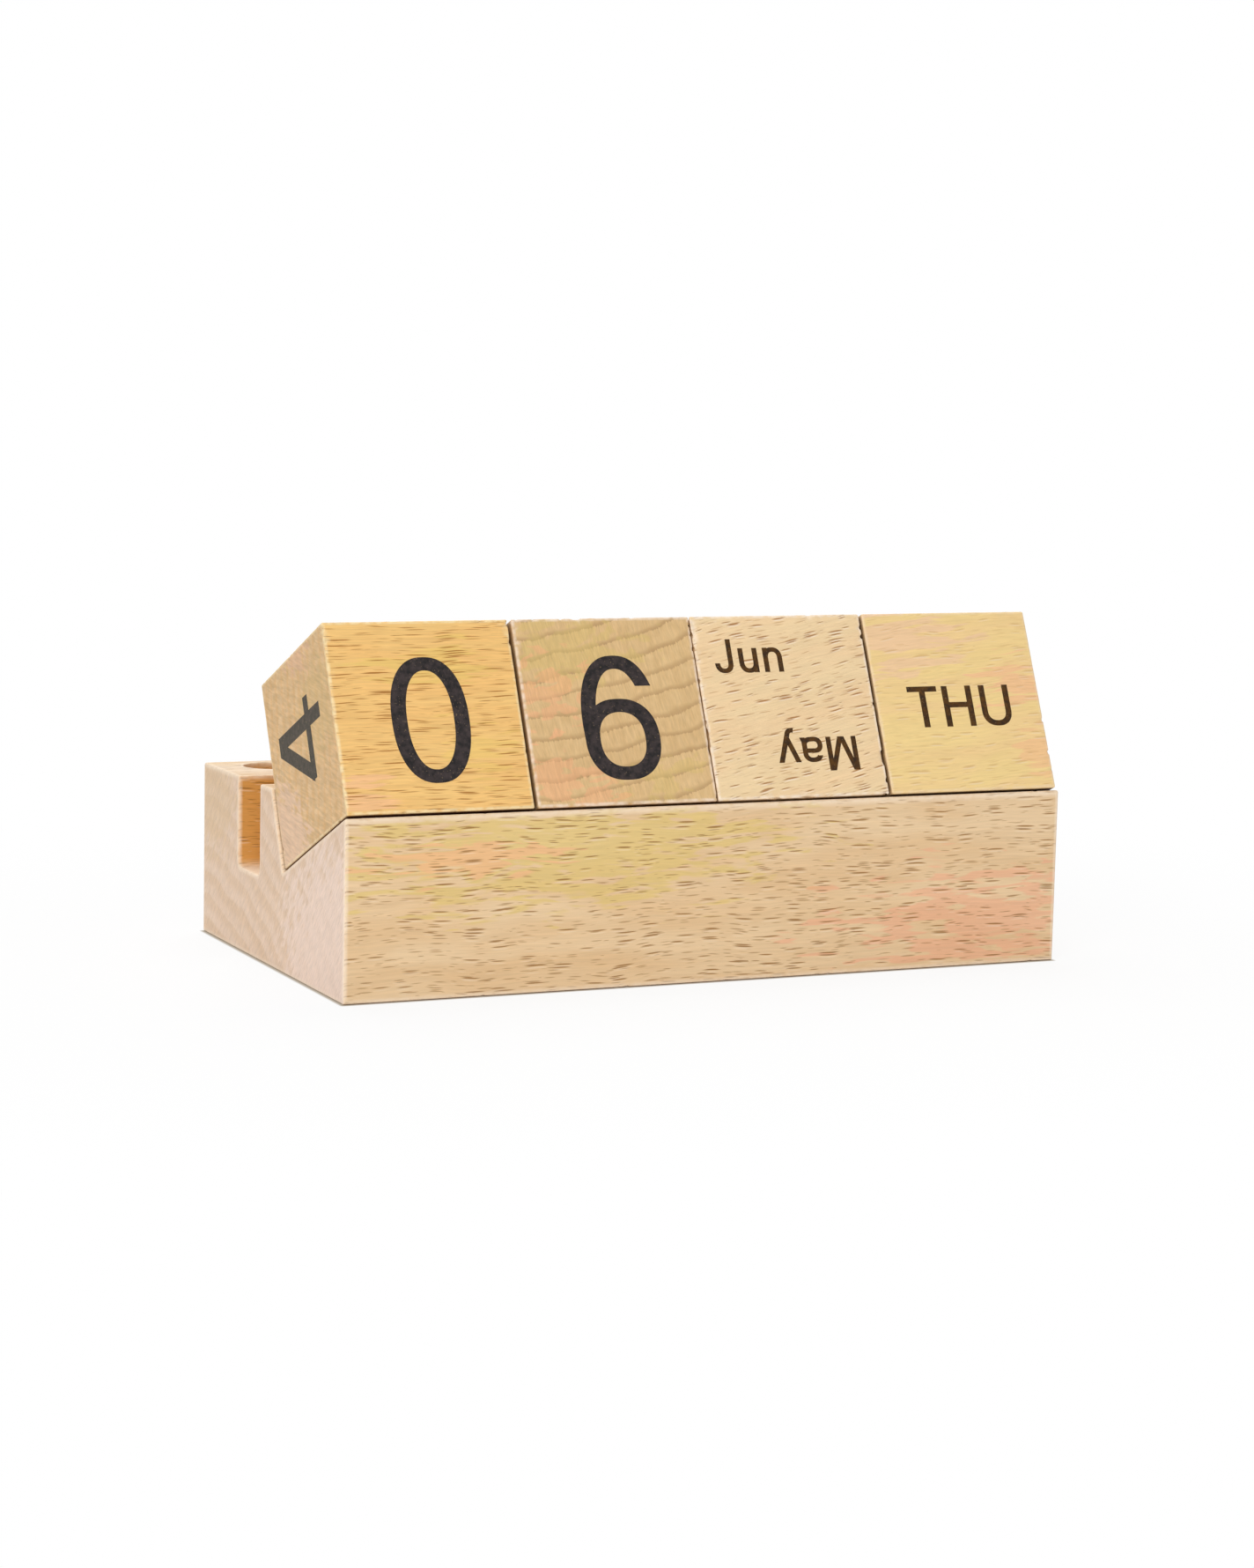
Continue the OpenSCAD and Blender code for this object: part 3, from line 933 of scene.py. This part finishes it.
# For each piece of wood, the way of its grain and the way out from the tree's middle
GRAIN = {
    "base": (ACROSS, (0, -0.7, 0.9)),
    "tens": (ACROSS, tilted(30, -REARWARD, -UPWARD)),
    "units": (REARWARD, tilted(9, UPWARD, -ACROSS)),
    "month": (tilted(11, ACROSS, UPWARD), -REARWARD),
    "weekday": (tilted(4, ACROSS, UPWARD), tilted(20, -REARWARD, UPWARD)),
}


# ---------------------------------------------------------------- the object

base = base_piece()
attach(base, "base")
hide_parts("base_block")
base.data.materials.append(
    beech("sanded_beech_base", BASE_MIDDLE, grain_turn(*GRAIN["base"]), {**COMMON, **FINISHES["base"]}))

# body, wood, how far it has slid along the row in its play, depth of the chips in its
# edges, their rarity, most worn spot in half sides from the middle, and seed of the chips
CUBES = [
    ("day_tens", "tens", 0.15, 0.3, 0.78, (1, -1, 1), 21),
    ("day_units", "units", 0.22, 0.3, 0.76, (-1, -1, 1), 31),
    ("month", "month", -0.3, 0.35, 0.63, (1, -1, -0.75), 41),
    ("weekday", "weekday", -0.35, 0.3, 0.8, (-1, -1, 1), 51),
]
CUBE_LINES = 97
ink = screen_print_ink()
for body, wood, play, wear, rarity, worn, seed in CUBES:
    middle = middle_and_size(body + "_cube")[0] + play * ACROSS
    cube = make_piece(body + "_block", *cube_points(middle, CUBE_LINES, wear, rarity, worn, seed))
    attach(cube, body)
    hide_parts(body + "_cube")
    cube.data.materials.append(
        beech("sanded_beech_" + wood, middle, grain_turn(*GRAIN[wood]), {**COMMON, **FINISHES[wood]}))
    marking = print_piece(body + "_print", middle, PRINTS[body])
    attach(marking, body)
    marking.data.materials.append(ink)

# ---------------------------------------------------------------- camera, floor and light


def make_camera():
    """A short telephoto lens from the front left, a little above the object. Blender's
    camera looks along its own -Z, so it is stood up by 90 degrees before it is turned."""
    spot = Vector((-316.2, -683.02, 133.93)) * MM
    yaw, pitch, roll = (math.radians(angle) for angle in (-24.829, 90 - 7.439, 1.289))
    data = bpy.data.cameras.new("camera")
    data.lens = 80.05
    data.sensor_width = 36
    camera = bpy.data.objects.new("camera", data)
    turn = Matrix.Rotation(yaw, 4, "Z") @ Matrix.Rotation(pitch, 4, "X") @ Matrix.Rotation(roll, 4, "Z")
    camera.matrix_world = Matrix.Translation(spot) @ turn
    bpy.context.scene.collection.objects.link(camera)
    bpy.context.scene.camera = camera


def backdrop_share(tree):
    """1 for rays from the camera and for mirror-like and clear ones, which see the bright
    backdrop, and 0 for the rays that light the object."""
    path = add(tree, "LightPath")
    seen = add(tree, "Math", {
        0: path.outputs["Is Camera Ray"], 1: path.outputs["Is Glossy Ray"]}, operation="MAXIMUM")
    return add(tree, "Math", {
        0: seen, 1: path.outputs["Is Transmission Ray"]}, operation="MAXIMUM")


def make_floor():
    """A wide sweep of white paper. It bounces light like paper. To the camera most of it is
    plain white, so only a faint shadow shows near the object and none further away. Within
    a millimetre of the base its glow is a warm grey, a painted shadow that draws a thin line."""
    half_width, lines = 4000, 9
    shadow_reach, white_share, contact_shadow_width = 160 * MM, 0.87, 1 * MM
    material, tree, shader = new_material("white_paper")
    set_inputs(tree, shader, {
        "Base Color": linear("#F4F3F3"), "Roughness": 0.9, "Specular IOR Level": 0.0})

    # distance from the base's footprint
    place = add(tree, "TexCoord")
    away = add(tree, "VectorMath", {0: place.outputs["Object"]}, operation="ABSOLUTE")
    away = add(tree, "VectorMath", {
        0: away, 1: (BASE_LENGTH / 2 * MM, BASE_DEPTH / 2 * MM, 0)}, operation="SUBTRACT")
    away = add(tree, "VectorMath", {0: away, 1: (0, 0, 0)}, operation="MAXIMUM")
    away = add(tree, "VectorMath", {0: away}, operation="LENGTH").outputs["Value"]

    white = add(tree, SOFT, {
        "Value": away, "From Max": shadow_reach, "To Min": white_share, "To Max": 1.0})
    share = add(tree, TIMES, {0: backdrop_share(tree), 1: white})
    # painted contact shadow: within a millimetre of the base the glow turns a warm grey
    clear = add(tree, SOFT, {"Value": away, "From Max": contact_shadow_width})
    glow_colour = lay_over(tree, linear("#AC9E8A"), [(clear, 1.0, "#FFFFFF")])
    glow = add(tree, "Emission", {"Color": glow_colour, "Strength": 1.0})
    paper = add(tree, "MixShader", {0: share, 1: shader, 2: glow})
    set_inputs(tree, tree.nodes["Material Output"], {"Surface": paper})

    ticks = np.linspace(-half_width, half_width, lines)
    u, v = np.meshgrid(ticks, ticks, indexing="ij")
    points = np.stack([u, v, np.zeros_like(u)], axis=-1).reshape(-1, 3)
    floor = make_piece("floor", points, grid_quads(lines, lines).reshape(-1, 4).tolist())
    floor.data.materials.append(material)


def make_world():
    """White to the camera, and a soft even light on the object."""
    soft_light = 0.42
    world = bpy.data.worlds.new("studio")
    bpy.context.scene.world = world
    world.use_nodes = True
    tree = world.node_tree
    strength = add(tree, "MapRange", {
        "Value": backdrop_share(tree), "To Min": soft_light, "To Max": 1.0})
    set_inputs(tree, tree.nodes["Background"], {"Strength": strength, "Color": linear("#FFFFFF")})


def add_soft_box(name, spot, width, watts):
    """A square lamp of that width at the spot, in metres, turned to the object."""
    target = Vector((0, 0, 0.03))
    data = bpy.data.lights.new(name, "AREA")
    data.shape = "SQUARE"
    data.size = width
    data.energy = watts
    lamp = bpy.data.objects.new(name, data)
    aim = target - Vector(spot)
    lamp.matrix_world = Matrix.Translation(spot) @ aim.to_track_quat("-Z", "Y").to_matrix().to_4x4()
    bpy.context.scene.collection.objects.link(lamp)


make_camera()
make_floor()
make_world()
add_soft_box("front_left_softbox", (-0.75, -1.0, 0.8), 1.0, 11.0)
add_soft_box("top_softbox", (0.1, 0.5, 1.15), 0.8, 6.8)
bpy.context.scene.view_settings.view_transform = "Standard"
